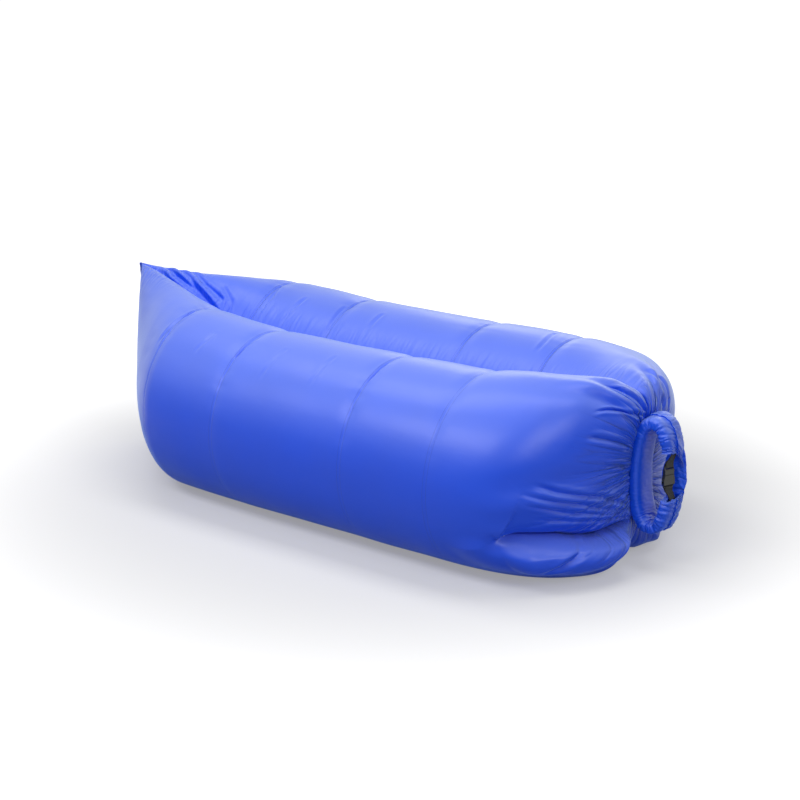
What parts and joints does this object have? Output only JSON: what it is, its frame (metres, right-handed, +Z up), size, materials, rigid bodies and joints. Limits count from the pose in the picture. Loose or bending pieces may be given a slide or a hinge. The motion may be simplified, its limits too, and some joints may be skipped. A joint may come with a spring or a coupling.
{
  "type": "inflatable air lounger",
  "caption": "Air-filled lounger of two side-by-side fabric tubes, with an upright seam at the head and a rolled mouth bent into a buckled loop at the foot.",
  "frame": {"origin": "on the ground, under the middle of the bounding box", "axes": "+X along the tubes from the head end to the rolled mouth, +Y towards the back tube, +Z up"},
  "size_m": [1.9914, 0.9742, 0.584],
  "materials": {
    "nylon": "satin",
    "binding": "satin",
    "lining": "matte",
    "film": "gloss",
    "batten": "satin",
    "webbing": "matte",
    "plastic": "satin"
  },
  "bodies": {
    "lounger": {"front_head_panel": "nylon", "front_shoulder_panel": "nylon", "front_seat_panel": "nylon", "front_leg_panel": "nylon", "front_foot_panel": "nylon", "back_head_panel": "nylon", "back_shoulder_panel": "nylon", "back_seat_panel": "nylon", "back_leg_panel": "nylon", "back_foot_panel": "nylon", "rolled_mouth": "nylon", "head_end_binding": "binding", "centre_divider": "lining", "front_air_liner": "film", "back_air_liner": "film", "outer_batten": "batten", "inner_batten": "batten", "lower_webbing": "webbing", "upper_webbing": "webbing", "buckle_socket": "plastic"},
    "plug": {"buckle_plug": "plastic"},
    "front_arm": {"front_latch_arm": "plastic"},
    "back_arm": {"back_latch_arm": "plastic"}
  },
  "joints": [
    {"name": "plug_slide", "type": "slide", "parent": "lounger", "child": "plug", "axis": [0, 0, 1], "range_m": [0, 0.028], "deforming": ["upper_webbing", "front_latch_arm", "back_latch_arm"]},
    {"name": "front_arm_pinch", "type": "hinge", "parent": "plug", "child": "front_arm", "pos_m": [0.95854, -0.00853, 0.2813], "axis": [0.9272, -0.3746, 0], "range_deg": [0, 12], "stiffness_Nm_per_rad": 0.02},
    {"name": "back_arm_pinch", "type": "hinge", "parent": "plug", "child": "back_arm", "pos_m": [0.96543, 0.00853, 0.2813], "axis": [0.9272, -0.3746, 0], "range_deg": [-12, 0], "stiffness_Nm_per_rad": 0.02}
  ]
}
